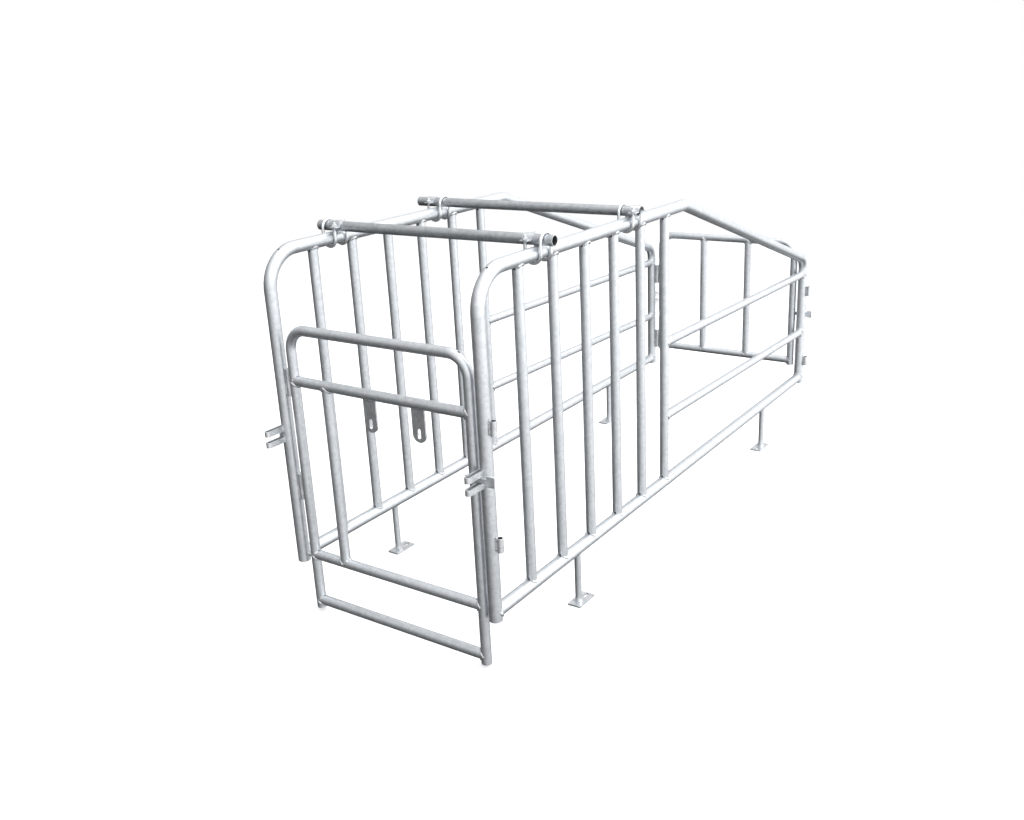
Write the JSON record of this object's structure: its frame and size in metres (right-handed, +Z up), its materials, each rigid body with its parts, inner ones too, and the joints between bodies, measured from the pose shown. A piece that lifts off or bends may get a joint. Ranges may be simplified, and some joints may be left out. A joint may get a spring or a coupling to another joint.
{
  "type": "sow gestation stall",
  "caption": "Galvanised steel tube stall for one sow: side panels tied by clamped cross tubes, with a hinged gate and a forked catch at each end.",
  "frame": {"origin": "on the floor at the middle of the overall box", "axes": "+Z up, +Y from the front gate to the rear gate, +X from the hinge side to the latch side"},
  "size_m": [0.769, 2.242, 1.0481],
  "materials": {
    "galvanised_tube": "hot-dip galvanised, satin with a faint mottle",
    "galvanised_fittings": "hot-dip galvanised fittings, slightly duller"
  },
  "bodies": {
    "stall_frame": {"left_panel_frame": "galvanised_tube", "left_panel_bottom_rail": "galvanised_tube", "left_panel_bar_1": "galvanised_tube", "left_panel_bar_2": "galvanised_tube", "left_panel_bar_3": "galvanised_tube", "left_panel_bar_4": "galvanised_tube", "left_panel_bar_5": "galvanised_tube", "left_panel_bar_6": "galvanised_tube", "left_panel_upper_side_rail": "galvanised_tube", "left_panel_lower_side_rail": "galvanised_tube", "left_panel_front_foot": "galvanised_tube", "left_panel_rear_foot": "galvanised_tube", "left_panel_front_catch": "galvanised_tube", "left_panel_rear_catch": "galvanised_tube", "left_panel_front_upper_hinge_sleeve": "galvanised_tube", "left_panel_front_lower_hinge_sleeve": "galvanised_tube", "left_panel_rear_upper_hinge_sleeve": "galvanised_tube", "left_panel_rear_lower_hinge_sleeve": "galvanised_tube", "right_panel_frame": "galvanised_tube", "right_panel_bottom_rail": "galvanised_tube", "right_panel_bar_1": "galvanised_tube", "right_panel_bar_2": "galvanised_tube", "right_panel_bar_3": "galvanised_tube", "right_panel_bar_4": "galvanised_tube", "right_panel_bar_5": "galvanised_tube", "right_panel_bar_6": "galvanised_tube", "right_panel_upper_side_rail": "galvanised_tube", "right_panel_lower_side_rail": "galvanised_tube", "right_panel_front_foot": "galvanised_tube", "right_panel_rear_foot": "galvanised_tube", "right_panel_front_catch": "galvanised_tube", "right_panel_rear_catch": "galvanised_tube", "right_panel_front_upper_hinge_sleeve": "galvanised_tube", "right_panel_front_lower_hinge_sleeve": "galvanised_tube", "right_panel_rear_upper_hinge_sleeve": "galvanised_tube", "right_panel_rear_lower_hinge_sleeve": "galvanised_tube", "front_cross_tube": "galvanised_fittings", "rear_cross_tube": "galvanised_fittings", "front_left_clamp_rod": "galvanised_fittings", "front_left_clamp_saddle": "galvanised_fittings", "front_right_clamp_rod": "galvanised_fittings", "front_right_clamp_saddle": "galvanised_fittings", "rear_left_clamp_rod": "galvanised_fittings", "rear_left_clamp_saddle": "galvanised_fittings", "rear_right_clamp_rod": "galvanised_fittings", "rear_right_clamp_saddle": "galvanised_fittings"},
    "front_gate": {"front_gate_frame": "galvanised_tube", "front_gate_middle_rail": "galvanised_tube", "front_gate_lower_rail": "galvanised_tube", "front_gate_bottom_rail": "galvanised_tube", "front_gate_bar": "galvanised_tube", "front_gate_left_trough_lug": "galvanised_tube", "front_gate_right_trough_lug": "galvanised_tube", "front_gate_latch_bar": "galvanised_tube"},
    "rear_gate": {"rear_gate_frame": "galvanised_tube", "rear_gate_lower_rail": "galvanised_tube", "rear_gate_left_bar": "galvanised_tube", "rear_gate_right_bar": "galvanised_tube", "rear_gate_latch_bar": "galvanised_tube"}
  },
  "joints": [
    {"name": "front_gate_hinge", "type": "hinge", "parent": "stall_frame", "child": "front_gate", "pos_m": [-0.28675, -1.05, 0.45], "axis": [0, 0, -1], "range_deg": [0, 95]},
    {"name": "rear_gate_hinge", "type": "hinge", "parent": "stall_frame", "child": "rear_gate", "pos_m": [-0.28675, 1.05, 0.45], "axis": [0, 0, 1], "range_deg": [0, 95]}
  ]
}
